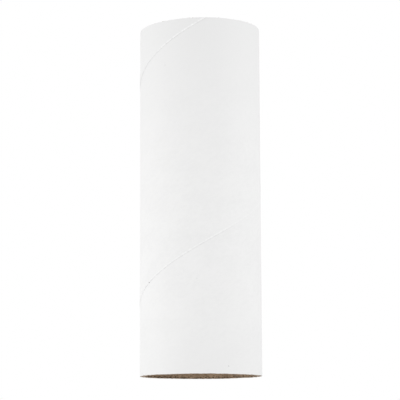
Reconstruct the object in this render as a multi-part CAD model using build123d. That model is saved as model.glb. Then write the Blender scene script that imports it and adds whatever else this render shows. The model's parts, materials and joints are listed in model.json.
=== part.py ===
"""Spiral-wound paper tube: the core that a roll of backdrop paper is wound on and hung by.

The tube stands on its lower end. +Z runs up its axis, and the origin is the centre of the lower end. Every ply is
one strip of paper or board wound round the axis on the same right-handed helix, so each strip is its own solid.
From the bore outwards they are the kraft inner liner, the chipboard plies and the white outer wrap. The liner and
the chipboard meet edge to edge across a narrow helical gap. The wrap laps over its own edge. All sizes are in
millimetres, and "rise" means height above the strip's seam, measured along the axis.
"""

import math
import os

from build123d import *

# Driving dimensions
BORE_DIAMETER = 50.8
TUBE_LENGTH = 163.3
LINER_THICKNESS = 0.25
BOARD_THICKNESS = 0.34
BOARD_COUNT = 7
WRAP_THICKNESS = 0.1

# Winding
WINDING_LEAD = 103.0  # climb of every strip in one turn
WRAP_SEAM_HEIGHT = 58.0  # where the wrap's visible edge crosses the front, the -Y side
SEAM_STAGGER = 0.382  # each ply's seam is this share of the lead above the seam of the ply outside it
BUTT_GAP = 0.6  # rise of the open joint between a strip's edges
LAP_RISE = 5.0  # how far the wrap's upper turn covers the turn below it
LAP_RAMP = 2.4  # rise over which the lap thins back to the wrap's own surface

# Clearances
GLUE_LINE = 0.01  # dried glue film between two plies
CUT_MARGIN = 0.5  # how far a cutter runs past the wall that it cuts
FRONT_ANGLE = -90.0  # turn about +Z that takes +X to the front


def ply_ring(inner_radius, thickness):
    """A full ring of the tube's length, before its seam is cut."""
    disc = Circle(inner_radius + thickness) - Circle(inner_radius)
    return extrude(disc, TUBE_LENGTH)


def helical_bar(profile):
    """A bar that winds past both ends of the tube.

    profile lists its (radius, rise) corners, and its zero rise crosses +X at half the tube's length.
    """
    rises = [rise for _, rise in profile]
    middle = TUBE_LENGTH / 2
    turns_below = math.ceil((middle + max(rises) + CUT_MARGIN) / WINDING_LEAD)
    start = middle - turns_below * WINDING_LEAD
    climb = TUBE_LENGTH - start - min(rises) + CUT_MARGIN
    path = Helix(pitch=WINDING_LEAD, height=climb, radius=profile[0][0])
    section = Plane.XZ * make_face(Polyline(profile, close=True))
    return Pos(0, 0, start) * sweep(section, path=path, is_frenet=True)


def turned_to_seam(ply, seam_height):
    """The ply turned about the axis until its seam crosses the front at seam_height."""
    turns = (seam_height - TUBE_LENGTH / 2) / WINDING_LEAD
    return Rot(0, 0, FRONT_ANGLE - 360 * turns) * ply


def butt_joint(inner_radius, thickness, first_rise=0.0):
    """The cutter for the open joint between two edges of a strip."""
    inside = inner_radius - CUT_MARGIN
    outside = inner_radius + thickness + CUT_MARGIN
    last_rise = first_rise + BUTT_GAP
    return helical_bar([(inside, first_rise), (outside, first_rise), (outside, last_rise), (inside, last_rise)])


def butted_ply(inner_radius, thickness, seam_height):
    """One strip wound edge to edge."""
    strip = ply_ring(inner_radius, thickness) - butt_joint(inner_radius, thickness)
    return turned_to_seam(strip, seam_height)


def lap_profile(inner_radius, thickness):
    """The lap's (radius, rise) corners: a band on the turn below, with a foot sunk in its own turn."""
    under_face = inner_radius + thickness + GLUE_LINE
    outer_face = under_face + thickness
    foot_start = LAP_RISE + BUTT_GAP
    foot_face = inner_radius + thickness / 2
    ramp_start = foot_start + BUTT_GAP
    ramp_end = ramp_start + LAP_RAMP
    return [
        (under_face, 0.0),
        (outer_face, 0.0),
        (outer_face, ramp_start),
        (foot_face, ramp_end),
        (foot_face, foot_start + BUTT_GAP / 2),
        (under_face, foot_start),
    ]


def lapped_ply(inner_radius, thickness, seam_height):
    """One strip whose lower edge is glued down over the turn below it."""
    turns = ply_ring(inner_radius, thickness) - butt_joint(inner_radius, thickness, first_rise=LAP_RISE)
    between_ends = extrude(Circle(inner_radius + 2 * thickness + CUT_MARGIN), TUBE_LENGTH)
    lap = helical_bar(lap_profile(inner_radius, thickness)) & between_ends
    return turned_to_seam(turns + lap, seam_height)


def wind_tube():
    """Every ply of the tube by its name, from the bore outwards."""
    stagger = SEAM_STAGGER * WINDING_LEAD
    seam_height = WRAP_SEAM_HEIGHT + (BOARD_COUNT + 1) * stagger
    radius = BORE_DIAMETER / 2

    plies = {"kraft_inner_liner": butted_ply(radius, LINER_THICKNESS, seam_height)}
    radius += LINER_THICKNESS + GLUE_LINE
    for number in range(1, BOARD_COUNT + 1):
        seam_height -= stagger
        plies[f"chipboard_ply_{number}"] = butted_ply(radius, BOARD_THICKNESS, seam_height)
        radius += BOARD_THICKNESS + GLUE_LINE
    plies["white_outer_wrap"] = lapped_ply(radius, WRAP_THICKNESS, WRAP_SEAM_HEIGHT)
    return plies


def main():
    """Build the plies and write one STEP file for each."""
    os.makedirs("parts", exist_ok=True)
    for name, ply in wind_tube().items():
        ply.label = name
        export_step(ply, f"parts/{name}.step")
        size = ply.bounding_box().size
        print(f"{name}: {len(ply.solids())} solid, {ply.volume:.1f} mm3, {size.X:.2f} x {size.Y:.2f} x {size.Z:.2f}")


main()
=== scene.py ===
"""A spiral-wound backdrop core, dressed as paper.

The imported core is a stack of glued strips: a kraft liner, chipboard plies and a lapped white wrap. Each
strip is made again here at the same place and size, as the sheet that it is: wound on its helix, trimmed by
two slightly ragged cuts, with torn fibres at its edges, and carrying a coordinate of its own flat sheet that
its finish is painted in.

Lengths are in metres, and in millimetres where a docstring says so. An angle is in radians about +Z from +X,
and goes on past a full turn along a strip. "Rise" is the height above a strip's lower edge, and "depth" runs
through a strip from 0 on its inner face to 1 on its outer face.
"""

import json
import logging
import math
from dataclasses import dataclass, field
from enum import Enum
from typing import Protocol

import bpy
import numpy as np
from mathutils import Matrix, Vector


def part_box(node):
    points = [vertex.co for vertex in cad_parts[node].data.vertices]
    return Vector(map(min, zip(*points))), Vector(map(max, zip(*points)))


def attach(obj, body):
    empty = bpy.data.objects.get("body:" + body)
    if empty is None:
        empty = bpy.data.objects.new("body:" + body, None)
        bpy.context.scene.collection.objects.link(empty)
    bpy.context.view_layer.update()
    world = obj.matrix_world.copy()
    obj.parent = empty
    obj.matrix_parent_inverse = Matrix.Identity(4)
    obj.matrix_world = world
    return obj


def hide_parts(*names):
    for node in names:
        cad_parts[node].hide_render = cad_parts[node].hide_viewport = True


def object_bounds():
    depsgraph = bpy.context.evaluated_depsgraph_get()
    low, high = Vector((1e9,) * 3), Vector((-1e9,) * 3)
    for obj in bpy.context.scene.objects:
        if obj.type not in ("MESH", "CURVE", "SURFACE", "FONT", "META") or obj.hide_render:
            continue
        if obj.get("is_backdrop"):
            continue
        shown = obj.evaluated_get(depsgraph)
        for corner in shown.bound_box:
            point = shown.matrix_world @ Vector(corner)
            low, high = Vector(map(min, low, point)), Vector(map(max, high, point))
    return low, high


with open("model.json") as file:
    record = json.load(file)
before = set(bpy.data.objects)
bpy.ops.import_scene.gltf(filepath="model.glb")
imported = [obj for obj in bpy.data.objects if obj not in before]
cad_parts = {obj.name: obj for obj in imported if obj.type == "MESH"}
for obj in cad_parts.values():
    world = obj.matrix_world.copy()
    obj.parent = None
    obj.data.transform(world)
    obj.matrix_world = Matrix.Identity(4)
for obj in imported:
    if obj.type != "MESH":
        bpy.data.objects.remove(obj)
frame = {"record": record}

LOG = logging.getLogger("backdrop_core")
MM = 0.001
TURN = 2 * math.pi
FRONT = -math.pi / 2  # the angle of the -Y side
ROOT = "root"
SHEET = "sheet"  # the attribute that holds each point's place on its flat sheet, in millimetres
WELD_CELL = 1e-4 * MM  # points that share a cell of this size are merged
FOLD = math.radians(50)  # a sharper fold than this is shaded as an edge
SPAN_SAMPLES = 60001  # how many angles are tried to find where a strip starts and stops

Place = tuple[float, float, float]
Colour = tuple[float, float, float]
Stretch = tuple[float, float, float]  # the scales along, across and through a sheet
Limits = tuple[float, float]  # where a range starts and ends
Columns = tuple[float, float, int]  # the first rise, the last rise and how many there are


class End(Enum):
    """An end of the tube, with the way that leads into the tube from it."""

    LOWER = 1.0
    UPPER = -1.0


class Join(Enum):
    """How a strip meets its own next turn."""

    BUTTED = "butted"
    LAPPED = "lapped"


# Meshes


@dataclass(frozen=True)
class Shell:
    """One or more closed surfaces as arrays.

    Attributes:
        places: the points.
        flat: each point's place on the flat sheet, in millimetres.
        triangles: the points' numbers, three to a triangle.
    """

    places: np.ndarray
    flat: np.ndarray
    triangles: np.ndarray

    @classmethod
    def carried(cls, places: np.ndarray, flat: np.ndarray) -> "Shell":
        """Closed loops of points carried along paths, whose ends close because their points meet.

        Each cell between two steps and two neighbours of the loop becomes two triangles.

        Args:
            places: the points, as steps by loop by 3, with the paths before them if there are several.
            flat: the sheet coordinates, of the same shape.

        Returns:
            The surfaces.
        """
        index = np.arange(places.size // 3).reshape(-1, *places.shape[-3:-1])
        here, ahead = index[:, :-1], index[:, 1:]
        beside, across = np.roll(here, -1, axis=2), np.roll(ahead, -1, axis=2)
        cells = [np.stack([here, ahead, across], -1), np.stack([here, across, beside], -1)]
        triangles = np.concatenate([cell.reshape(-1, 3) for cell in cells])
        return cls(places.reshape(-1, 3), flat.reshape(-1, 3), triangles)

    @classmethod
    def joined(cls, shells: "list[Shell]") -> "Shell":
        """The shells as one, each one's point numbers moved past those before it.

        Args:
            shells: the shells.

        Returns:
            The one shell.
        """
        starts = np.cumsum([0] + [len(shell.places) for shell in shells[:-1]])
        triangles = [shell.triangles + start for shell, start in zip(shells, starts)]
        places, flat = [shell.places for shell in shells], [shell.flat for shell in shells]
        return cls(np.concatenate(places), np.concatenate(flat), np.concatenate(triangles))

    def welded(self) -> "Shell":
        """The shell with points that meet merged, and without the triangles that lose a side by it.

        Returns:
            The merged shell.
        """
        grid = np.round(self.places / WELD_CELL).astype(np.int64)
        _, kept, merged = np.unique(grid, axis=0, return_index=True, return_inverse=True)
        triangles = merged.reshape(-1)[self.triangles]
        whole = (triangles != np.roll(triangles, 1, axis=1)).all(axis=1)
        return Shell(self.places[kept], self.flat[kept], triangles[whole])

    def to_object(self, name: str) -> bpy.types.Object:
        """Make the mesh object, smooth but for its folds, and link it to the scene.

        Args:
            name: the object's name.

        Returns:
            The object, at the origin.
        """
        shell = self.welded()
        mesh = bpy.data.meshes.new(name)
        mesh.vertices.add(len(shell.places))
        mesh.vertices.foreach_set("co", shell.places.astype(np.float32).ravel())
        mesh.loops.add(shell.triangles.size)
        mesh.loops.foreach_set("vertex_index", shell.triangles.astype(np.int32).ravel())
        mesh.polygons.add(len(shell.triangles))
        mesh.polygons.foreach_set("loop_start", np.arange(0, shell.triangles.size, 3, dtype=np.int32))
        sheet = mesh.attributes.new(SHEET, "FLOAT_VECTOR", "POINT")
        sheet.data.foreach_set("vector", shell.flat.astype(np.float32).ravel())
        mesh.update(calc_edges=True)
        mesh.validate()
        mesh.shade_smooth()
        mesh.set_sharp_from_angle(angle=FOLD)
        piece = bpy.data.objects.new(name, mesh)
        bpy.context.scene.collection.objects.link(piece)
        return piece


def on_circle(radius: np.ndarray, angle: np.ndarray, z: np.ndarray) -> np.ndarray:
    """Points from radius, angle and height, with x, y and z on the last axis."""
    return np.stack(np.broadcast_arrays(radius * np.cos(angle), radius * np.sin(angle), z), axis=-1)


# Shapes


@dataclass(frozen=True)
class Ripple:
    """Soft unevenness round the tube, a sum of cosines of whole orders of the angle.

    Attributes:
        height: the root-mean-square height of the sum.
        slowest: the lowest order, in waves a turn.
        fastest: the highest order.
        falloff: the power of the order by which a wave's height falls.
        seed: what the phases and the slopes are drawn with.
        climb: how fast the phases may turn with height, in radians a metre.
    """

    height: float
    slowest: int
    fastest: int
    falloff: float
    seed: int
    climb: float = 0.0

    def at(self, angle: np.ndarray, z: np.ndarray | float = 0.0) -> np.ndarray:
        """The sum of weight * cos(order * angle + slope * z + phase), scaled to its root-mean-square height.

        Args:
            angle: the angles.
            z: the heights, of a shape that goes with the angles.

        Returns:
            The unevenness at each place.
        """
        draw = np.random.default_rng(self.seed)
        orders = np.arange(self.slowest, self.fastest + 1)
        phases = draw.uniform(0, TURN, orders.size)
        slopes = draw.uniform(-self.climb, self.climb, orders.size)
        weights = (orders / self.slowest) ** -self.falloff
        total = np.zeros(np.broadcast(angle, z).shape)
        for order, phase, slope, weight in zip(orders, phases, slopes, weights):
            total += weight * np.cos(order * angle + slope * z + phase)
        return self.height * total / math.sqrt((weights**2).sum() / 2)


@dataclass(frozen=True)
class Cut:
    """One trimmed end of a strip.

    Attributes:
        end: which end of the tube it is.
        height: the flat cut's height.
        shared: the waviness of the knife's path, the same in every strip.
        own: the strip's own raggedness.
        inset: how far the strip ends inside the tube's end on average.
        slant: how much lower or higher the cut runs on the -X side than on the +X side.
        crown: how much further in the strip's two rims end than its middle.
    """

    end: End
    height: float
    shared: Ripple
    own: Ripple
    inset: float
    slant: float
    crown: float = 0.03 * MM

    def at(self, angle: np.ndarray, depth: np.ndarray | float) -> np.ndarray:
        """The cut's height: a flat plane, moved into the tube by the inset, slant, ripples and crown.

        The slant grows with one minus the cosine of the angle, and the crown with the square of how far the
        depth is from the strip's middle. No cut goes outside the tube's end.

        Args:
            angle: the angles.
            depth: the depths in the strip, 0 to 1.

        Returns:
            The height at each place.
        """
        rim = 1 - 4 * depth * (1 - depth)
        leaning = self.slant * (1 - np.cos(angle)) / 2
        stray = self.inset + leaning + self.shared.at(angle) + self.own.at(angle) + self.crown * rim
        return self.height + self.end.value * np.maximum(stray, 0.0)


@dataclass(frozen=True)
class Fuzz:
    """Torn paper fibres, each a thin bent spindle.

    Attributes:
        count: how many there are along one edge.
        length: the longest fibre's length.
        radius: a fibre's radius where it is thickest.
        lean: how far a fibre may lean away from the bore, as a share of its length.
        root: how deep a fibre is rooted in its sheet.
        shortest: the shortest fibre's length, as a share of the longest's.
        stoop: how far a fibre may lean towards the bore, as a share of its length.
        sweep: how far a fibre may lean to either side, as a share of its length.
        emergence: how far a fibre stands out of the edge at least, as a share of its length.
        curl: how far a fibre may bend to either side, as a share of its length.
        twist: how far a spindle's section is turned from the tube's own directions.
        taper: the power of the way along a spindle, which puts its thickest place nearer to its root.
        steps: how many points a spindle has along it.
        sides: how many sides a spindle has.
    """

    count: int
    length: float
    radius: float
    lean: float
    root: float = 0.05 * MM
    shortest: float = 0.25
    stoop: float = 0.2
    sweep: float = 0.9
    emergence: float = 0.2
    curl: float = 0.6
    twist: float = 0.4
    taper: float = 0.7
    steps: int = 6
    sides: int = 3

    def shell(
        self, seed: int, angle: np.ndarray, roots: np.ndarray, flat: np.ndarray, way: float, between: Limits
    ) -> Shell:
        """Spindles that start at their roots.

        A fibre's middle line is its root plus its reach times s plus its bend times s squared, for s from 0
        to 1. Its radius is its greatest radius times the sine of half a turn of s to the power of the taper,
        so it closes at both ends.

        Args:
            seed: what the fibres are drawn with.
            angle: the roots' angles.
            roots: the roots' places.
            flat: the roots' sheet coordinates.
            way: 1 where the fibres reach up and -1 where they reach down.
            between: the heights that they stay between.

        Returns:
            The spindles.
        """
        least = np.reshape((self.shortest, -self.stoop, -self.sweep, self.emergence, -self.curl), (-1, 1, 1))
        most = np.reshape((1.0, self.lean, self.sweep, 1.0, self.curl), (-1, 1, 1))
        drawn = np.random.default_rng(seed).uniform(least, most, (len(least), len(roots), 1))
        share, outwards_by, aside_by, onwards_by, curl_by = drawn

        outwards, aside = on_circle(1.0, angle, 0.0), on_circle(1.0, angle + TURN / 4, 0.0)
        onwards = np.array([0.0, 0.0, way])
        size = self.length * share
        reach = size * (outwards * outwards_by + aside * aside_by + onwards * onwards_by)
        bend = size * aside * curl_by
        s = np.linspace(0, 1, self.steps)[:, None]
        line = roots[:, None] + reach[:, None] * s + bend[:, None] * s**2

        side = np.cross(reach, aside + self.twist * outwards)
        side /= np.linalg.norm(side, axis=1, keepdims=True)
        other = np.cross(side, reach / np.linalg.norm(reach, axis=1, keepdims=True))
        turn = np.linspace(0, TURN, self.sides, endpoint=False)[:, None]
        ring = side[:, None] * np.cos(turn) + other[:, None] * np.sin(turn)
        thick = self.radius * np.sin(math.pi * s**self.taper)
        places = line[:, :, None] + thick[:, :, None] * ring[:, None]
        places[..., 2] = np.clip(places[..., 2], *between)
        return Shell.carried(places, np.broadcast_to(flat[:, None, None], places.shape))


@dataclass(frozen=True)
class Winding:
    """How the strips are wound.

    Attributes:
        lead: the climb of a strip in one turn.
        wrap_seam: the height at which the wrap's lower edge crosses the front.
        stagger: each strip's seam is this share of the lead above the seam of the strip outside it.
        butt_gap: the rise of the open joint between a butted strip's edges.
        lap: how far the wrap's upper turn covers the turn below it.
        glue: the glue line between two strips.
    """

    lead: float = 103.0 * MM
    wrap_seam: float = 58.0 * MM
    stagger: float = 0.382
    butt_gap: float = 0.6 * MM
    lap: float = 5.0 * MM
    glue: float = 0.01 * MM

    def seam(self, strips_inside_wrap: int) -> float:
        """The height at which a strip's lower edge crosses the front, counted inwards from the wrap."""
        return self.wrap_seam + strips_inside_wrap * self.stagger * self.lead

    def slope(self, radius: float) -> float:
        """The angle at which a strip climbs at a radius."""
        return math.atan2(self.lead, TURN * radius)


class Finish(Protocol):
    """What a strip is made of."""

    def material(self) -> bpy.types.Material:
        """Make the finish's material."""


@dataclass
class Strip:
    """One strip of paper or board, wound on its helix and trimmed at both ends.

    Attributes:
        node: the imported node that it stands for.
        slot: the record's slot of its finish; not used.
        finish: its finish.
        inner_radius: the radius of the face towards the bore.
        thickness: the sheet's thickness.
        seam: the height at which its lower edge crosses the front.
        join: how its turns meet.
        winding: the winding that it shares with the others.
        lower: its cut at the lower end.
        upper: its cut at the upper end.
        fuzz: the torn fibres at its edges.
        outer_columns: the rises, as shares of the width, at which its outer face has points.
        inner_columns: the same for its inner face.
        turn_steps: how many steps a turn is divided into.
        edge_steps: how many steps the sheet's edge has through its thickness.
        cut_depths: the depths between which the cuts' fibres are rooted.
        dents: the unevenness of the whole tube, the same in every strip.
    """

    node: str
    slot: str
    finish: Finish
    inner_radius: float
    thickness: float
    seam: float
    join: Join
    winding: Winding
    lower: Cut
    upper: Cut
    fuzz: Fuzz
    outer_columns: np.ndarray
    inner_columns: np.ndarray
    turn_steps: int = 480
    edge_steps: int = 2
    cut_depths: Limits = (0.15, 0.85)
    dents: Ripple = Ripple(height=0.012 * MM, slowest=2, fastest=24, falloff=0.8, seed=42, climb=420.0)

    @property
    def width(self) -> float:
        """The strip's rise from edge to edge, which is the lead less the gap or with the lap.

        Returns:
            The rise.
        """
        if self.join is Join.BUTTED:
            return self.winding.lead - self.winding.butt_gap
        return self.winding.lead + self.winding.lap

    def lower_edge(self, angle: np.ndarray) -> np.ndarray:
        """The height of the lower edge: the seam's height plus the lead for each turn from the front."""
        edge = self.seam + self.winding.lead * (angle - FRONT) / TURN
        return edge + (self.winding.butt_gap if self.join is Join.BUTTED else 0.0)

    def radius(self, angle: np.ndarray, z: np.ndarray, depth: np.ndarray) -> np.ndarray:
        """The radius of a point of the sheet: the inner face's radius plus its depth and the tube's dents.

        Args:
            angle: the angles.
            z: the heights.
            depth: the depths, 0 to 1.

        Returns:
            The radius at each place.
        """
        return self.inner_radius + self.thickness * depth + self.dents.at(angle, z)

    def flat(self, angle: np.ndarray, z: np.ndarray, depth: np.ndarray) -> np.ndarray:
        """The place on the unrolled sheet, in millimetres.

        The way along the strip is the way round times the cosine of the helix's slope plus the height
        times its sine. The way across is the rise times that cosine, and the way through is the thickness
        times the depth.

        Args:
            angle: the angles.
            z: the heights.
            depth: the depths, 0 to 1.

        Returns:
            The ways along, across and through, on the last axis.
        """
        middle = self.inner_radius + self.thickness / 2
        slope = self.winding.slope(middle)
        along = middle * angle * math.cos(slope) + z * math.sin(slope)
        across = (z - self.lower_edge(angle)) * math.cos(slope)
        return np.stack(np.broadcast_arrays(along, across, self.thickness * depth), axis=-1) / MM

    def _span(self, depth: float) -> Limits:
        """The first and last angle of the strip between its two cuts, at one depth.

        The first is the last place where the upper edge is still under the lower cut, and the last is the
        first place after it where the lower edge is over the upper cut, so the strip ends in two points.

        Args:
            depth: the depth, 0 to 1.

        Returns:
            The two angles.
        """
        start = FRONT - TURN * (self.seam + self.width + MM) / self.winding.lead
        stop = FRONT + TURN * (self.upper.height - self.seam + MM) / self.winding.lead
        fine = np.linspace(start, stop, SPAN_SAMPLES)
        edge = self.lower_edge(fine)
        under = edge + self.width <= self.lower.at(fine, depth)
        over = edge >= self.upper.at(fine, depth)
        first = np.flatnonzero(under)[-1]
        last = np.flatnonzero(over & (np.arange(fine.size) > first))[0]
        return fine[first], fine[last]

    def body(self) -> Shell:
        """The sheet as a loop round its section, carried along the helix.

        A point's height is the lower edge's height plus its rise, held between the two cuts, so the part of
        the strip past a cut folds up onto it. Its angle runs evenly over the strip's span at its depth.

        Returns:
            The sheet.
        """
        through = np.linspace(0, 1, self.edge_steps + 1)
        outer, inner, edge = self.outer_columns, self.inner_columns[::-1], self.edge_steps - 1
        rise = self.width * np.concatenate([outer, np.ones(edge), inner, np.zeros(edge)])
        depth = np.concatenate([np.ones(outer.size), through[-2:0:-1], np.zeros(inner.size), through[1:-1]])
        spans = {share: self._span(share) for share in through}
        first, last = np.array([spans[share] for share in depth]).T
        steps = math.ceil((last.max() - first.min()) / TURN * self.turn_steps)
        angle = first + (last - first) * np.linspace(0, 1, steps + 1)[:, None]
        z = np.clip(self.lower_edge(angle) + rise, self.lower.at(angle, depth), self.upper.at(angle, depth))
        places = on_circle(self.radius(angle, z, depth), angle, z)
        return Shell.carried(places, self.flat(angle, z, depth))

    def fibres(self, seed: int, angle: np.ndarray, z: np.ndarray, depth: np.ndarray, way: float) -> Shell:
        """Fibres rooted at places of the sheet.

        Args:
            seed: what the fibres are drawn with.
            angle: the roots' angles.
            z: their heights.
            depth: their depths.
            way: 1 where the fibres reach up and -1 where they reach down.

        Returns:
            The fibres.
        """
        roots = on_circle(self.radius(angle, z, depth), angle, z)
        between = (self.lower.height, self.upper.height)
        return self.fuzz.shell(seed, angle, roots, self.flat(angle, z, depth), way, between)

    def cut_fibres(self, cut: Cut) -> Shell:
        """The fibres at one cut, rooted all round it but for the open joint.

        Args:
            cut: the cut.

        Returns:
            The fibres.
        """
        draw = np.random.default_rng(cut.own.seed)
        shallow, deep = self.cut_depths
        angle, depth = draw.uniform((0, shallow), (TURN, deep), (self.fuzz.count, 2)).T
        z = cut.at(angle, depth) + cut.end.value * self.fuzz.root
        angle += TURN * np.floor((z - self.lower_edge(angle)) / self.winding.lead)
        held = z - self.lower_edge(angle) < self.width
        return self.fibres(cut.own.seed, angle[held], z[held], depth[held], -cut.end.value)

    def shells(self) -> list[Shell]:
        """The sheet, and the fibres at its two cuts."""
        return [self.body(), self.cut_fibres(self.lower), self.cut_fibres(self.upper)]

    def build(self) -> bpy.types.Object:
        """Make the strip's piece, dress it and let it stand for its node.

        Returns:
            The piece.
        """
        piece = Shell.joined(self.shells()).to_object(f"{self.node}_sheet")
        piece.data.materials.append(self.finish.material())
        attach(piece, ROOT)
        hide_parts(self.node)
        return piece


@dataclass
class Wrap(Strip):
    """The white outer wrap, whose lower edge laps over the turn below.

    Attributes:
        step: the rise over which the lap comes down onto the board.
        lip_rise: the rise of the loose margin along the visible edge.
        lip_lift: how far the edge stands off where it is loosest.
        looseness: how loose the edge is on average, 0 to 1.
        loose_swing: how much that changes round the tube.
        loosest: the angle at which the edge is loosest.
        lip_waves: how the looseness comes and goes along the seam.
        seam_seed: what the seam's fibres are drawn with.
        seam_depths: the depths between which the seam's fibres are rooted.
        seam_clearance: how far the seam's fibres stay from the cuts.
    """

    step: float = 2.4 * MM
    lip_rise: float = 0.9 * MM
    lip_lift: float = 0.035 * MM
    looseness: float = 0.45
    loose_swing: float = 0.35
    loosest: float = FRONT - 0.5
    lip_waves: Ripple = Ripple(height=0.35, slowest=5, fastest=90, falloff=0.5, seed=41)
    seam_seed: int = 77
    seam_depths: Limits = (0.2, 0.9)
    seam_clearance: float = MM

    def radius(self, angle: np.ndarray, z: np.ndarray, depth: np.ndarray) -> np.ndarray:
        """The radius of a point of the wrap.

        The lap rides one thickness and one glue line higher, and comes down by a smooth step just above
        the covered edge. The margin along the visible edge curls outwards with the square of its nearness
        to that edge, more where the edge is looser, which follows a cosine of the angle and the lip's waves.

        Args:
            angle: the angles.
            z: the heights.
            depth: the depths, 0 to 1.

        Returns:
            The radius at each place.
        """
        rise = z - self.lower_edge(angle)
        down = np.clip((rise - self.winding.lap) / self.step, 0, 1)
        on_top = 1 - down * down * (3 - 2 * down)
        ride = (self.thickness + self.winding.glue) * on_top
        near = np.clip(1 - rise / self.lip_rise, 0, 1)
        swing = self.loose_swing * np.cos(angle - self.loosest)
        loose = np.clip(self.looseness + swing + self.lip_waves.at(angle), 0, 1)
        return super().radius(angle, z, depth) + ride + self.lip_lift * loose * near**2

    def seam_fibres(self) -> Shell:
        """The fibres along the visible edge, clear of the cuts.

        Returns:
            The fibres.
        """
        draw = np.random.default_rng(self.seam_seed)
        shallow, deep = self.seam_depths
        lowest, highest = self.seam_clearance, self.upper.height - self.seam_clearance
        z, depth = draw.uniform((lowest, shallow), (highest, deep), (self.fuzz.count, 2)).T
        angle = FRONT + TURN * (z - self.seam) / self.winding.lead
        return self.fibres(self.seam_seed, angle, z + self.fuzz.root, depth, -End.LOWER.value)

    def shells(self) -> list[Shell]:
        """The sheet, and the fibres at its cuts and along its seam."""
        return [*super().shells(), self.seam_fibres()]


# Shader graphs


class Wire:
    """A shader socket that arithmetic works on. Each operator adds one Math node."""

    def __init__(self, graph: "Graph", socket: bpy.types.NodeSocket) -> None:
        """Wrap a socket of a graph."""
        self.graph = graph
        self.socket = socket

    def __add__(self, other: "Wire | float") -> "Wire":
        """self + other."""
        return self.graph.math("ADD", self, other)

    __radd__ = __add__

    def __sub__(self, other: "Wire | float") -> "Wire":
        """self - other."""
        return self.graph.math("SUBTRACT", self, other)

    def __rsub__(self, other: float) -> "Wire":
        """other - self."""
        return self.graph.math("SUBTRACT", other, self)

    def __mul__(self, other: "Wire | float") -> "Wire":
        """self * other."""
        return self.graph.math("MULTIPLY", self, other)

    __rmul__ = __mul__


Value = Wire | float | tuple


@dataclass(frozen=True)
class Pattern:
    """A fractal noise or a scatter of grains on a sheet.

    Attributes:
        stretch: how the sheet is scaled along, across and through it.
        scale: how many lumps, or cells of one grain each, a millimetre holds.
        detail: how many finer sizes a noise adds.
        roughness: how strong the finer sizes of a noise are.
    """

    stretch: Stretch
    scale: float
    detail: float = 0.0
    roughness: float = 0.0


@dataclass(frozen=True)
class Step:
    """A smooth step from 0 to its strength.

    Attributes:
        start: the value up to which it is 0.
        stop: the value from which it has its strength, which may lie below the start.
        strength: how strong it is.
    """

    start: float
    stop: float
    strength: float = 1.0


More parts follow.
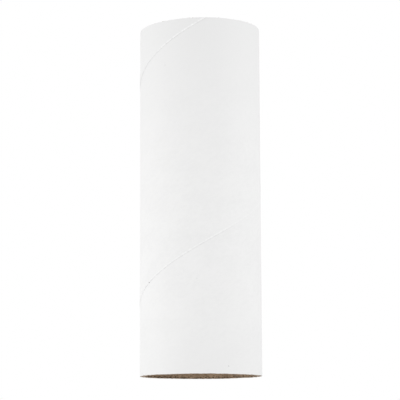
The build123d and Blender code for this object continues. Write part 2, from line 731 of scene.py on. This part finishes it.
class Graph:
    """The node tree of a material or of the surround."""

    MIX_FACTOR, MIX_FIRST, MIX_SECOND, MIX_RESULT = 0, 6, 7, 2  # the colour sockets of a Mix node

    def __init__(self, owner: bpy.types.Material | bpy.types.World) -> None:
        """Take the owner's tree and empty it.

        Args:
            owner: the material or the surround.
        """
        self.owner = owner
        owner.use_nodes = True
        self.tree = owner.node_tree
        self.tree.nodes.clear()

    def node(self, kind: str, settings: dict, inputs: dict, output: int | str = 0) -> Wire:
        """Add a node.

        Args:
            kind: the node's type.
            settings: its properties, which are set first.
            inputs: values or wires, by the socket's name or number.
            output: the socket to give back.

        Returns:
            A wire on that output.
        """
        made = self.tree.nodes.new(kind)
        for key, value in settings.items():
            setattr(made, key, value)
        for key, value in inputs.items():
            if isinstance(value, Wire):
                self.tree.links.new(value.socket, made.inputs[key])
            else:
                made.inputs[key].default_value = value
        return Wire(self, made.outputs[output])

    def close(self, kind: str, surface: Wire) -> None:
        """Join a surface to an output node of one kind."""
        output = self.tree.nodes.new(kind)
        self.tree.links.new(surface.socket, output.inputs["Surface"])

    def math(self, operation: str, *values: Value) -> Wire:
        """One Math node on up to three values."""
        return self.node("ShaderNodeMath", {"operation": operation}, dict(enumerate(values)))

    def vector(self, operation: str, *values: Value, output: str = "Vector") -> Wire:
        """One Vector Math node on up to three vectors."""
        return self.node("ShaderNodeVectorMath", {"operation": operation}, dict(enumerate(values)), output)

    def smooth(self, value: Wire, step: Step) -> Wire:
        """A smooth step of a value.

        Args:
            value: the value.
            step: where the step starts and stops, and how strong it is.

        Returns:
            0 before the step and its strength after it.
        """
        sockets = {"Value": value, "From Min": step.start, "From Max": step.stop}
        stepped = self.node("ShaderNodeMapRange", {"interpolation_type": "SMOOTHSTEP"}, sockets)
        return stepped if step.strength == 1.0 else stepped * step.strength

    def broken(self, value: Wire, step: Step) -> Wire:
        """A line's breaks: 1 after the step, and one minus its strength before it."""
        return (1 - step.strength) + self.smooth(value, step)

    def mix(self, factor: Value, first: Value, second: Value) -> Wire:
        """A colour between two colours.

        Args:
            factor: how much of the second colour it has, 0 to 1.
            first: the first colour.
            second: the second colour.

        Returns:
            The colour.
        """
        sides = {self.MIX_FIRST: self.rgba(first), self.MIX_SECOND: self.rgba(second)}
        sockets = {self.MIX_FACTOR: factor, **sides}
        return self.node("ShaderNodeMix", {"data_type": "RGBA"}, sockets, self.MIX_RESULT)

    @staticmethod
    def rgba(value: Value) -> Value:
        """A colour of three numbers with its alpha added; a wire as it is."""
        return value if isinstance(value, Wire) else (*value, 1.0)

    def sheet(self, stretch: Stretch = (1.0, 1.0, 1.0)) -> Wire:
        """The place on the flat sheet in millimetres, scaled along, across and through it."""
        place = self.node("ShaderNodeAttribute", {"attribute_name": SHEET}, {}, output="Vector")
        return self.vector("MULTIPLY", place, stretch)

    def place(self) -> Wire:
        """The place in the tube's own frame, in millimetres."""
        here = self.node("ShaderNodeTexCoord", {}, {}, output="Object")
        return self.vector("MULTIPLY", here, (1 / MM, 1 / MM, 1 / MM))

    def across(self) -> Wire:
        """How far a point is from its strip's lower edge, in millimetres."""
        return self.node("ShaderNodeSeparateXYZ", {}, {"Vector": self.sheet()}, output="Y")

    def height(self) -> Wire:
        """How high a point is in the tube, in millimetres."""
        return self.node("ShaderNodeSeparateXYZ", {}, {"Vector": self.place()}, output="Z")

    def moved(self, stretch: Stretch, shift: float) -> Wire:
        """The stretched sheet moved by a shift along it and by twice that across it, in millimetres."""
        return self.vector("ADD", self.sheet(stretch), (shift, 2 * shift, 0.0))

    def noise(self, pattern: Pattern, shift: float = 0.0) -> Wire:
        """Fractal noise on the sheet, of about 0 to 1 with 0.5 in the middle.

        Args:
            pattern: its stretch, its scale and its finer sizes.
            shift: how far it is moved, in millimetres.

        Returns:
            The noise.
        """
        sockets = {"Vector": self.moved(pattern.stretch, shift), "Scale": pattern.scale}
        sockets |= {"Detail": pattern.detail, "Roughness": pattern.roughness}
        return self.node("ShaderNodeTexNoise", {"noise_dimensions": "3D"}, sockets)

    def grit(self, pattern: Pattern, shift: float = 0.0) -> Wire:
        """How far, in cells, a point of the sheet is from the nearest of its scattered grains.

        Args:
            pattern: its stretch and its scale.
            shift: how far the grains are moved, in millimetres.

        Returns:
            The distance.
        """
        sockets = {"Vector": self.moved(pattern.stretch, shift), "Scale": pattern.scale}
        return self.node("ShaderNodeTexVoronoi", {}, sockets, output="Distance")

    def paper(
        self, colour: Wire, roughness: Wire, height: Wire, relief: float, gloss: float
    ) -> bpy.types.Material:
        """Close the tree of a material with a Principled surface.

        Args:
            colour: the base colour.
            roughness: the roughness.
            height: the bump's height, of about 0 to 1.
            relief: how tall a height of 1 is, in metres.
            gloss: the specular level, even over the surface.

        Returns:
            The material.
        """
        normal = self.node("ShaderNodeBump", {}, {"Strength": 1.0, "Distance": relief, "Height": height})
        sockets = {"Base Color": colour, "Roughness": roughness, "Normal": normal}
        sockets["Specular IOR Level"] = gloss
        self.close("ShaderNodeOutputMaterial", self.node("ShaderNodeBsdfPrincipled", {}, sockets))
        return self.owner


# Finishes


@dataclass(frozen=True)
class Spot:
    """A round place on the wrap.

    Attributes:
        side: how far round from the front it is, in degrees towards +X.
        height: its height in millimetres.
        radius: its radius in millimetres.
        strength: how much of its effect it has, 0 to 1.
    """

    side: float
    height: float
    radius: float
    strength: float

    def centre(self, tube_radius: float) -> Place:
        """Its place on a tube of a radius, all in millimetres."""
        side = math.radians(self.side)
        return tube_radius * math.sin(side), -tube_radius * math.cos(side), self.height


@dataclass(frozen=True)
class BleachedPaper:
    """Smooth uncoated white wrap: formation, fine fibres, painted light and shade at its seam and ends, and
    a few flecks.

    Attributes:
        tube_radius: the radius of its outer face, in millimetres.
        covered: how far from the lower edge the next turn's edge lies on the sheet, in millimetres.
        name: the material's name.
        colour: the paper.
        cloud: the paper where it is thinner.
        end_shade: painted shade, the paper made darker towards both ends to stand in for the light falling
            off there.
        unshaded_height: the height, in millimetres, where the paper has no painted shade.
        reach_up: how far above that the painted shade is full, in millimetres.
        reach_down: how far below that the painted shade is full, in millimetres.
        lip_highlight: a painted highlight along the visible edge, where the lifted lip catches the light.
        lip_shadow: a painted shadow in the corner under that edge.
        fleck: the specks.
        clouds: lumps of a centimetre.
        formation: lumps of a millimetre.
        fibres: the finest lumps, long along the sheet.
        thinning: the mean of the three over which the paper grows thinner.
        breaks: how the seam's two lines come and go along it.
        highlight_breaks: where the breaks let the painted highlight show.
        shadow_breaks: where the breaks let the painted shadow show.
        stretches: how the seam changes from one long stretch to the next.
        fading: where such a stretch has a fainter painted highlight and a darker painted shadow.
        margin: how far from the visible edge the painted highlight ends, in millimetres.
        corner: where the painted shadow starts beside the next turn's edge, in millimetres from it.
        highlight_shown: how strongly the painted highlight shows where the seam isn't faded.
        highlight_lost: how much less strongly it shows where the seam is faded.
        shadow_shown: how strongly the painted shadow shows where the seam isn't faded.
        shadow_gained: how much more strongly it shows where the seam is faded.
        flecks: where the specks are.
        tight: where the lap is glued down best, and the seam's painted highlight and shadow are faint.
        core: the part of a spot's radius that has its whole effect.
        fleck_fade: how far out a speck fades, in its own radii.
        relief: how tall the bump is, in metres.
        gloss: the specular level.
    """

    tube_radius: float
    covered: float
    name: str = "bleached_wrap_paper"
    colour: Colour = (0.884, 0.884, 0.882)
    cloud: Colour = (0.852, 0.852, 0.851)
    # painted shade: the paper darker towards both ends, standing in for the light falling off there
    end_shade: Colour = (0.835, 0.835, 0.834)
    unshaded_height: float = 55.0
    reach_up: float = 105.0
    reach_down: float = 68.0
    # painted highlight: the lifted lip along the visible edge catching the light
    lip_highlight: Colour = (0.975, 0.975, 0.975)
    # painted shadow: the corner under the lip's edge
    lip_shadow: Colour = (0.60, 0.60, 0.59)
    fleck: Colour = (0.10, 0.09, 0.08)
    clouds: Pattern = Pattern((0.7, 1.0, 1.0), 0.09, detail=3.0, roughness=0.55)
    formation: Pattern = Pattern((0.6, 1.0, 1.0), 0.6, detail=3.0, roughness=0.6)
    fibres: Pattern = Pattern((0.35, 1.0, 1.0), 3.2, detail=4.0, roughness=0.65)
    thinning: Step = Step(0.40, 0.62)
    breaks: Pattern = Pattern((1.0, 0.0, 0.0), 0.8, detail=3.0, roughness=0.7)
    highlight_breaks: Step = Step(0.42, 0.56, strength=0.75)
    shadow_breaks: Step = Step(0.56, 0.42, strength=0.8)
    stretches: Pattern = Pattern((1.0, 0.0, 0.0), 0.012, detail=1.0, roughness=0.5)
    fading: Step = Step(0.35, 0.65)
    margin: Step = Step(0.40, 0.80)
    corner: Limits = (-0.50, -0.25)
    highlight_shown: float = 0.85
    highlight_lost: float = 0.50
    shadow_shown: float = 0.24
    shadow_gained: float = 0.12
    flecks: tuple[Spot, ...] = (
        Spot(-56.0, 42.0, 0.30, 0.9),
        Spot(26.0, 3.5, 0.26, 0.60),
        Spot(-34.5, 141.5, 0.50, 0.07),
        Spot(-3.5, 42.5, 0.45, 0.06),
        Spot(118.0, 96.0, 0.22, 0.6),
        Spot(196.0, 131.0, 0.18, 0.5),
        Spot(-128.0, 27.0, 0.20, 0.6),
    )
    tight: tuple[Spot, ...] = (
        Spot(60.0, 75.2, 25.0, 0.75),
        Spot(-75.0, 139.5, 22.0, 0.75),
        Spot(-85.0, 33.7, 16.0, 0.60),
    )
    core: float = 0.4
    fleck_fade: float = 1.2
    relief: float = 0.035 * MM
    gloss: float = 0.35

    def near(self, g: Graph, spot: Spot, fade: float = 1.0) -> Wire:
        """How near a point is to a spot.

        Args:
            g: the graph.
            spot: the spot.
            fade: how far from the middle the nearness ends, in radii of the spot.

        Returns:
            1 in the spot's core, falling smoothly to 0 at the fade.
        """
        distance = g.vector("DISTANCE", g.place(), spot.centre(self.tube_radius), output="Value")
        return 1 - g.smooth(distance, Step(self.core * spot.radius, fade * spot.radius))

    def end_shading(self, g: Graph) -> Wire:
        """The painted shade, growing with the square of the way from the unshaded height.

        Args:
            g: the graph.

        Returns:
            0 at the unshaded height, and 1 where the painted shade is full above or below it.
        """
        height = g.height()
        above = (height - self.unshaded_height) * (1 / self.reach_up)
        below = (self.unshaded_height - height) * (1 / self.reach_down)
        return g.math("POWER", g.math("MAXIMUM", above, below), 2.0)

    def seam_lines(self, g: Graph, colour: Wire) -> Wire:
        """The painted highlight along the visible edge and the painted shadow beside it, broken and faint in
        places.

        Args:
            g: the graph.
            colour: the paper without them.

        Returns:
            The paper with them.
        """
        across = g.across()
        breaks = g.noise(self.breaks)
        # stretches where the seam's painted highlight is fainter and its painted shadow darker
        faded = g.smooth(g.noise(self.stretches), self.fading)
        start, stop = self.corner
        # painted highlight along the visible edge, where the lifted lip catches the light
        lip_highlight = (1 - g.smooth(across, self.margin)) * g.broken(breaks, self.highlight_breaks)
        # painted shadow in the corner under the lip's edge
        lip_shadow = g.smooth(across, Step(self.covered + start, self.covered + stop))
        lip_shadow = lip_shadow * g.broken(breaks, self.shadow_breaks)
        loose = 1.0
        for spot in self.tight:
            loose = loose * (1 - spot.strength * self.near(g, spot))
        colour = g.mix(lip_highlight * loose * (self.highlight_shown - self.highlight_lost * faded), colour, self.lip_highlight)
        return g.mix(lip_shadow * loose * (self.shadow_shown + self.shadow_gained * faded), colour, self.lip_shadow)

    def material(self) -> bpy.types.Material:
        """Three sizes of noise; painted shade at the ends; the seam's painted highlight and shadow; flecks.

        Returns:
            The material.
        """
        g = Graph(bpy.data.materials.new(self.name))
        clouds, formation, fibres = g.noise(self.clouds), g.noise(self.formation), g.noise(self.fibres)
        shade = 0.35 * clouds + 0.30 * formation + 0.35 * fibres
        colour = g.mix(g.smooth(shade, self.thinning), self.colour, self.cloud)
        # painted shade towards both ends, then the seam's painted highlight and shadow
        colour = self.seam_lines(g, g.mix(self.end_shading(g), colour, self.end_shade))
        for spot in self.flecks:
            colour = g.mix(self.near(g, spot, self.fleck_fade) * spot.strength, colour, self.fleck)
        bump = 0.5 * fibres + 0.35 * formation + 0.15 * clouds
        return g.paper(colour, 0.70 + 0.16 * fibres, bump, self.relief, self.gloss)


@dataclass(frozen=True)
class Chipboard:
    """Recycled grey-brown board: fibres, light and dark flecks, and thin layers through its thickness.

    Attributes:
        name: the material's name.
        shift: how far its patterns are moved, in millimetres, so that no two plies look alike.
        tone: how light this ply's board is beside the others.
        colour: the board.
        dark: its darker lumps.
        light: its paler fibres.
        char: the darkest flecks.
        broad: the widest lumps.
        fibres: the finest lumps.
        lumps: the lumps between them, that are pressed dark and hold the darkest flecks.
        grains: the darkest flecks' places.
        filling: the sum of broad and half of fibres over which dark turns to board.
        paling: the height of the fibres that are pale.
        pressing: the height of the lumps that are pressed dark.
        swelling: the height of the lumps that swell the flecks in them, in cells.
        speck: how near to a grain's middle its fleck ends and is full, in cells.
        relief: how tall the bump is, in metres.
        gloss: the specular level.
    """

    name: str
    shift: float
    tone: float
    colour: Colour = (0.560, 0.460, 0.380)
    dark: Colour = (0.300, 0.225, 0.165)
    light: Colour = (0.730, 0.650, 0.575)
    char: Colour = (0.075, 0.055, 0.035)
    broad: Pattern = Pattern((0.45, 1.0, 4.0), 0.35, detail=3.0, roughness=0.6)
    fibres: Pattern = Pattern((0.45, 1.0, 4.0), 2.4, detail=5.0, roughness=0.7)
    lumps: Pattern = Pattern((0.45, 1.0, 4.0), 1.4, detail=2.0, roughness=0.5)
    grains: Pattern = Pattern((0.8, 1.0, 1.5), 1.1)
    filling: Step = Step(0.45, 1.05)
    paling: Step = Step(0.52, 0.72, strength=0.7)
    pressing: Step = Step(0.64, 0.74, strength=0.75)
    swelling: Step = Step(0.40, 0.60, strength=0.35)
    speck: Step = Step(0.15, 0.07, strength=0.9)
    relief: float = 0.09 * MM
    gloss: float = 0.2

    def toned(self, colour: Colour) -> Colour:
        """A colour of this ply's tone."""
        return tuple(self.tone * part for part in colour)

    def material(self) -> bpy.types.Material:
        """Three sizes of noise, flattened through the sheet so that a cut shows layers, and char flecks.

        Returns:
            The material.
        """
        g = Graph(bpy.data.materials.new(self.name))
        broad, fibres = g.noise(self.broad, self.shift), g.noise(self.fibres, self.shift)
        lumps = g.noise(self.lumps, self.shift)
        grains = g.grit(self.grains, self.shift) - g.smooth(lumps, self.swelling)
        dark, light = self.toned(self.dark), self.toned(self.light)
        colour = g.mix(g.smooth(broad + 0.5 * fibres, self.filling), dark, self.toned(self.colour))
        colour = g.mix(g.smooth(fibres, self.paling), colour, light)
        colour = g.mix(g.smooth(lumps, self.pressing), colour, dark)
        colour = g.mix(g.smooth(grains, self.speck), colour, self.char)
        return g.paper(colour, 0.82 + 0.14 * fibres, 0.6 * fibres + 0.4 * broad, self.relief, self.gloss)


@dataclass(frozen=True)
class Kraft:
    """Unbleached brown liner paper: long fibres, darker shives, paler streaks and cutting dust.

    Attributes:
        length: the tube's length, in millimetres.
        name: the material's name.
        colour: the paper.
        dark: its darker streaks and shives.
        light: its paler fibres.
        dust: the specks that crowd towards a cut.
        broad: the widest lumps.
        streaks: the streaks along the strip.
        fibres: the finest lumps.
        shives: the short dark splinters.
        grains: the specks' places.
        filling: the mean of broad and streaks over which dark turns to paper.
        paling: the height of the fibres that are pale.
        splintering: the height of the shives that are dark.
        crowding: how far from a cut the specks stop being crowded, in millimetres.
        least_swelling: how much a speck by a cut is swollen at least, in cells.
        swelling: the height of the fibres that swell a speck by a cut further, in cells.
        speck: how near to a grain's middle its speck ends and is full, in cells.
        relief: how tall the bump is, in metres.
        gloss: the specular level.
    """

    length: float
    name: str = "kraft_liner_paper"
    colour: Colour = (0.480, 0.345, 0.232)
    dark: Colour = (0.270, 0.185, 0.120)
    light: Colour = (0.620, 0.490, 0.365)
    dust: Colour = (0.040, 0.026, 0.014)
    broad: Pattern = Pattern((0.35, 1.0, 2.0), 0.30, detail=3.0, roughness=0.6)
    streaks: Pattern = Pattern((0.16, 1.0, 3.0), 1.6, detail=4.0, roughness=0.65)
    fibres: Pattern = Pattern((0.4, 1.0, 3.0), 4.5, detail=4.0, roughness=0.7)
    shives: Pattern = Pattern((0.3, 1.0, 2.0), 1.1, detail=2.0, roughness=0.6)
    grains: Pattern = Pattern((0.75, 1.0, 1.0), 1.6)
    filling: Step = Step(0.32, 0.66)
    paling: Step = Step(0.50, 0.74, strength=0.65)
    splintering: Step = Step(0.60, 0.68, strength=0.8)
    crowding: Step = Step(0.3, 1.6)
    least_swelling: float = 0.12
    swelling: Step = Step(0.38, 0.58, strength=0.30)
    speck: Step = Step(0.27, 0.19, strength=0.95)
    relief: float = 0.07 * MM
    gloss: float = 0.25

    def material(self) -> bpy.types.Material:
        """Streaks along the strip at two sizes, short dark shives, and specks that are denser by the cuts.

        Returns:
            The material.
        """
        g = Graph(bpy.data.materials.new(self.name))
        broad, streaks, fibres = g.noise(self.broad), g.noise(self.streaks), g.noise(self.fibres)
        shives = g.noise(self.shives)
        colour = g.mix(g.smooth(0.5 * broad + 0.5 * streaks, self.filling), self.dark, self.colour)
        colour = g.mix(g.smooth(fibres, self.paling), colour, self.light)
        colour = g.mix(g.smooth(shives, self.splintering), colour, self.dark)
        height = g.height()
        by_cut = 1 - g.smooth(g.math("MINIMUM", height, self.length - height), self.crowding)
        swollen = (self.least_swelling + g.smooth(fibres, self.swelling)) * by_cut
        colour = g.mix(g.smooth(g.grit(self.grains) - swollen, self.speck), colour, self.dust)
        return g.paper(colour, 0.76 + 0.18 * fibres, 0.5 * fibres + 0.5 * streaks, self.relief, self.gloss)


# The core


@dataclass
class Core:
    """The tube: its strips from the bore outwards.

    Attributes:
        winding: how the strips are wound.
        liner: the liner's node.
        boards: the chipboard plies' nodes, from the bore outwards.
        wrap: the wrap's node.
        tones: the boards' tones, used in turn.
        pattern_shift: how far a board's patterns are moved from the last board's, in millimetres.
        knife_waver: the knife's waviness round the cut.
        board_fray: the raggedness of a board's cut edge.
        wrap_fray: the raggedness of the wrap's cut edge.
        cut_inset: how far a strip ends inside the tube's end on average.
        top_slant: how far the upper cut is out of square.
        board_fuzz: the fibres at a board's or the liner's cuts.
        wrap_fuzz: the fibres at the wrap's edges.
        knife_seed: what the lower cut's waviness is drawn with; the upper cut's is one more.
        board_seed: what the liner's lower cut is drawn with; each board's is one more than the last.
        wrap_seed: what the wrap's lower cut is drawn with.
        upper_seed: how much more a strip's upper cut is drawn with than its lower cut.
        board_columns: how many rises a board's faces, and the liner's hidden face, have points at.
        bore_columns: the same for the liner's face in the bore.
        lip: the wrap's rises at its visible edge.
        lap: those over the turn below it.
        under: those of its inner face over the turn below it.
        ramp: those where it comes down onto the board.
        rest: the rise where the rest of it starts.
        rest_outer: how many rises the rest has on its outer face.
        rest_inner: the same for its inner face.
        wrap_turn_steps: how many steps a turn of the wrap is divided into.
    """

    winding: Winding = field(default_factory=Winding)
    liner: str = "kraft_inner_liner"
    boards: tuple[str, ...] = tuple(f"chipboard_ply_{number}" for number in range(1, 8))
    wrap: str = "white_outer_wrap"
    tones: tuple[float, ...] = (1.0, 0.87, 1.06, 0.93)
    pattern_shift: float = 31.0
    knife_waver: float = 0.03 * MM
    board_fray: float = 0.06 * MM
    wrap_fray: float = 0.035 * MM
    cut_inset: float = 0.10 * MM
    top_slant: float = 1.0 * MM
    board_fuzz: Fuzz = Fuzz(count=40, length=0.45 * MM, radius=0.022 * MM, lean=0.3)
    wrap_fuzz: Fuzz = Fuzz(count=150, length=0.42 * MM, radius=0.020 * MM, lean=0.7)
    knife_seed: int = 7
    board_seed: int = 200
    wrap_seed: int = 300
    upper_seed: int = 100
    board_columns: int = 5
    bore_columns: int = 24
    lip: Columns = (0.0, 1.0 * MM, 9)
    lap: Columns = (1.8 * MM, 4.8 * MM, 4)
    under: Columns = (0.0, 4.8 * MM, 7)
    ramp: Columns = (5.0 * MM, 7.6 * MM, 10)
    rest: float = 9 * MM
    rest_outer: int = 44
    rest_inner: int = 16
    wrap_turn_steps: int = 360

    @staticmethod
    def _outer_radius(node: str) -> float:
        """A node's outer radius, which is half of its box's width."""
        low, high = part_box(node)
        return (high[0] - low[0]) / 2

    @staticmethod
    def _shares(width: float, *stretches: Columns) -> np.ndarray:
        """The rises of some stretches, evenly spread over each, as shares of a width."""
        return np.concatenate([np.linspace(*stretch) for stretch in stretches]) / width

    def _cuts(self, seed: int, fray: float) -> dict[str, Cut]:
        """The two cuts of one strip.

        Args:
            seed: what the lower cut's raggedness is drawn with.
            fray: the height of the raggedness.

        Returns:
            The cuts, by the names of the strip's fields.
        """
        low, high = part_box(self.liner)
        ends = ((End.LOWER, low[2], 0.0), (End.UPPER, high[2], self.top_slant))
        cuts = {}
        for number, (end, height, slant) in enumerate(ends):
            knife, own = self.knife_seed + number, seed + self.upper_seed * number
            waver = Ripple(height=self.knife_waver, slowest=2, fastest=14, falloff=0.6, seed=knife)
            ragged = Ripple(height=fray, slowest=9, fastest=160, falloff=0.3, seed=own)
            cuts[end.name.lower()] = Cut(end, height, waver, ragged, self.cut_inset, slant)
        return cuts

    def _finish(self, number: int, node: str) -> Finish:
        """The liner's kraft paper, or a board of its own shift and tone.

        Args:
            number: the strip's number from the bore outwards.
            node: its node.

        Returns:
            The finish.
        """
        if node == self.liner:
            return Kraft(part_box(node)[1][2] / MM)
        tone = self.tones[number % len(self.tones)]
        return Chipboard(f"{node}_board", self.pattern_shift * number, tone)

    def _butted(self, number: int, node: str, radius: float) -> Strip:
        """The liner or a board.

        Args:
            number: its number from the bore outwards.
            node: its node.
            radius: its inner radius.

        Returns:
            The strip.
        """
        is_liner = node == self.liner
        return Strip(
            node=node,
            slot="kraft_paper" if is_liner else "chipboard",
            finish=self._finish(number, node),
            inner_radius=radius,
            thickness=self._outer_radius(node) - radius,
            seam=self.winding.seam(len(self.boards) + 1 - number),
            join=Join.BUTTED,
            winding=self.winding,
            fuzz=self.board_fuzz,
            outer_columns=np.linspace(0, 1, self.board_columns),
            inner_columns=np.linspace(0, 1, self.bore_columns if is_liner else self.board_columns),
            **self._cuts(self.board_seed + number, self.board_fray),
        )

    def _wrapped(self, radius: float) -> Wrap:
        """The wrap, with its columns crowded along the lap.

        Args:
            radius: its inner radius.

        Returns:
            The strip.
        """
        outer = self._outer_radius(self.wrap)
        thickness = (outer - radius - self.winding.glue) / 2
        width = self.winding.lead + self.winding.lap
        slope = self.winding.slope(radius + thickness / 2)
        rest_outer, rest_inner = (self.rest, width, self.rest_outer), (self.rest, width, self.rest_inner)
        return Wrap(
            node=self.wrap,
            slot="white_paper",
            finish=BleachedPaper(outer / MM, self.winding.lead * math.cos(slope) / MM),
            inner_radius=radius,
            thickness=thickness,
            seam=self.winding.wrap_seam,
            join=Join.LAPPED,
            winding=self.winding,
            fuzz=self.wrap_fuzz,
            outer_columns=self._shares(width, self.lip, self.lap, self.ramp, rest_outer),
            inner_columns=self._shares(width, self.under, self.ramp, rest_inner),
            turn_steps=self.wrap_turn_steps,
            **self._cuts(self.wrap_seed, self.wrap_fray),
        )

    def strips(self) -> list[Strip]:
        """The strips from the bore outwards, each laid on the one inside it.

        Returns:
            The strips.
        """
        bore = next(mount for mount in frame["record"]["mounts"] if mount["name"] == "core_bore")
        radius = bore["dims"]["r_mm"] * MM
        made = []
        for number, node in enumerate((self.liner, *self.boards)):
            made.append(self._butted(number, node, radius))
            radius += made[-1].thickness + self.winding.glue
        return [*made, self._wrapped(radius)]

    def build(self) -> None:
        """Make and report every strip."""
        for strip in self.strips():
            piece = strip.build()
            LOG.info("%s: %d triangles", piece.name, len(piece.data.polygons))


# The studio


@dataclass(frozen=True)
class SoftBox:
    """A square lamp that is aimed at the tube's middle.

    Attributes:
        name: its name.
        place: where it is.
        size: its side.
        power: its power in watts.
        colour: its colour.
    """

    name: str
    place: Place
    size: float
    power: float
    colour: Colour

    def build(self, aim: Vector) -> None:
        """Make the lamp, unseen by the camera.

        Args:
            aim: the place that it is aimed at.
        """
        light = bpy.data.lights.new(self.name, "AREA")
        light.size, light.energy, light.color = self.size, self.power, self.colour
        lamp = bpy.data.objects.new(self.name, light)
        lamp.location = self.place
        lamp.rotation_mode = "QUATERNION"
        lamp.rotation_quaternion = (aim - Vector(self.place)).to_track_quat("-Z", "Y")
        lamp.visible_camera = False
        bpy.context.scene.collection.objects.link(lamp)


@dataclass
class Studio:
    """A pale floor, an even white surround and two soft boxes.

    The left soft box stands below the floor's level, and lights the tube all the same, because the floor
    casts nothing.

    Attributes:
        floor_radius: the floor's radius.
        floor_sides: how many sides its disc has.
        floor_drop: how far the floor lies under the tube, so that they don't touch.
        floor_colour: the floor's colour.
        front_light: the light that comes from behind the camera.
        back_light: the light that comes from behind the tube.
        boxes: the soft boxes.
    """

    floor_radius: float = 4.0
    floor_sides: int = 96
    floor_drop: float = 0.02 * MM
    floor_colour: Colour = (0.74, 0.74, 0.745)
    front_light: float = 0.909
    back_light: float = 0.895
    boxes: tuple[SoftBox, ...] = (
        SoftBox("left_soft_box", (-1.10, -0.20, -0.34), 0.60, 2.50, (1.0, 0.995, 0.99)),
        SoftBox("right_soft_box", (1.04, -0.42, 0.42), 0.60, 1.60, (0.99, 0.995, 1.0)),
    )

    def floor(self) -> None:
        """A disc round the tube's axis that only the camera's own rays meet, and only from above.

        The camera stands a little below the tube's lower end, so it has to see through the floor.
        """
        angle = np.linspace(0, TURN, self.floor_sides, endpoint=False)
        rim = on_circle(self.floor_radius, angle, -self.floor_drop)
        places = np.concatenate([[[0.0, 0.0, -self.floor_drop]], rim])
        ring = np.arange(1, angle.size + 1)
        triangles = np.stack([0 * ring, ring, np.roll(ring, -1)], -1)
        piece = Shell(places, places / MM, triangles).to_object("studio_floor")
        g = Graph(bpy.data.materials.new("studio_floor_paint"))
        paint = g.node("ShaderNodeBsdfDiffuse", {}, {"Color": (*self.floor_colour, 1.0)})
        clear = g.node("ShaderNodeBsdfTransparent", {}, {})
        below = g.node("ShaderNodeNewGeometry", {}, {}, output="Backfacing")
        seen = g.node("ShaderNodeMixShader", {}, {0: below, 1: paint, 2: clear})
        g.close("ShaderNodeOutputMaterial", seen)
        piece.data.materials.append(g.owner)
        for ray in ("diffuse", "glossy", "transmission", "shadow"):
            setattr(piece, f"visible_{ray}", False)
        piece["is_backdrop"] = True

    def surround(self) -> None:
        """White for the camera; for the rest, a ramp along Y from the front light to the back light."""
        world = bpy.data.worlds.new("studio_surround")
        bpy.context.scene.world = world
        g = Graph(world)
        way = g.node("ShaderNodeTexCoord", {}, {}, output="Generated")
        depth = g.node("ShaderNodeSeparateXYZ", {}, {"Vector": way}, output="Y")
        limits = {"From Min": -1.0, "From Max": 1.0, "To Min": self.front_light, "To Max": self.back_light}
        ramp = g.node("ShaderNodeMapRange", {}, {"Value": depth, **limits})
        seen = g.node("ShaderNodeLightPath", {}, {}, output="Is Camera Ray")
        power = seen + (1 - seen) * ramp
        sky = g.node("ShaderNodeBackground", {}, {"Color": (1.0, 1.0, 1.0, 1.0), "Strength": power})
        g.close("ShaderNodeOutputWorld", sky)

    def build(self, aim: Vector) -> None:
        """Make the floor, the surround and the lamps.

        Args:
            aim: the place that the lamps are aimed at.
        """
        self.floor()
        self.surround()
        for box in self.boxes:
            box.build(aim)


@dataclass
class Camera:
    """The camera, a little below the tube's lower end and looking up at it.

    Attributes:
        place: where it is.
        yaw: its turn to the left from +Y, in degrees.
        pitch: its tilt up, in degrees.
        roll: its roll clockwise, in degrees.
        lens: the focal length, in millimetres.
        sensor: the sensor's width, in millimetres.
        clip: the nearest and the farthest that it sees.
    """

    place: Place = (0.5 * MM, -762.0 * MM, -33.2 * MM)
    yaw: float = 0.05
    pitch: float = 8.616
    roll: float = 0.24
    lens: float = 148.15
    sensor: float = 36.0
    clip: Limits = (0.01, 100.0)

    def build(self) -> None:
        """Make the camera and set it as the scene's."""
        data = bpy.data.cameras.new("studio_camera")
        data.sensor_width, data.lens = self.sensor, self.lens
        data.clip_start, data.clip_end = self.clip
        camera = bpy.data.objects.new("studio_camera", data)
        turn = Matrix.Rotation(math.radians(self.yaw), 4, "Z")
        tilt = Matrix.Rotation(math.radians(90 + self.pitch), 4, "X")
        roll = Matrix.Rotation(math.radians(-self.roll), 4, "Z")
        camera.matrix_world = Matrix.Translation(self.place) @ turn @ tilt @ roll
        bpy.context.scene.collection.objects.link(camera)
        bpy.context.scene.camera = camera
        bpy.context.scene.view_settings.view_transform = "Standard"


def main() -> None:
    """Build the core, then the studio round it."""
    logging.basicConfig(level=logging.INFO, format="%(name)s: %(message)s")
    cad_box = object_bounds()
    Core().build()
    Studio().build(aim=Vector((0, 0, cad_box[1][2] / 2)))
    Camera().build()


if __name__ == "__main__":
    main()
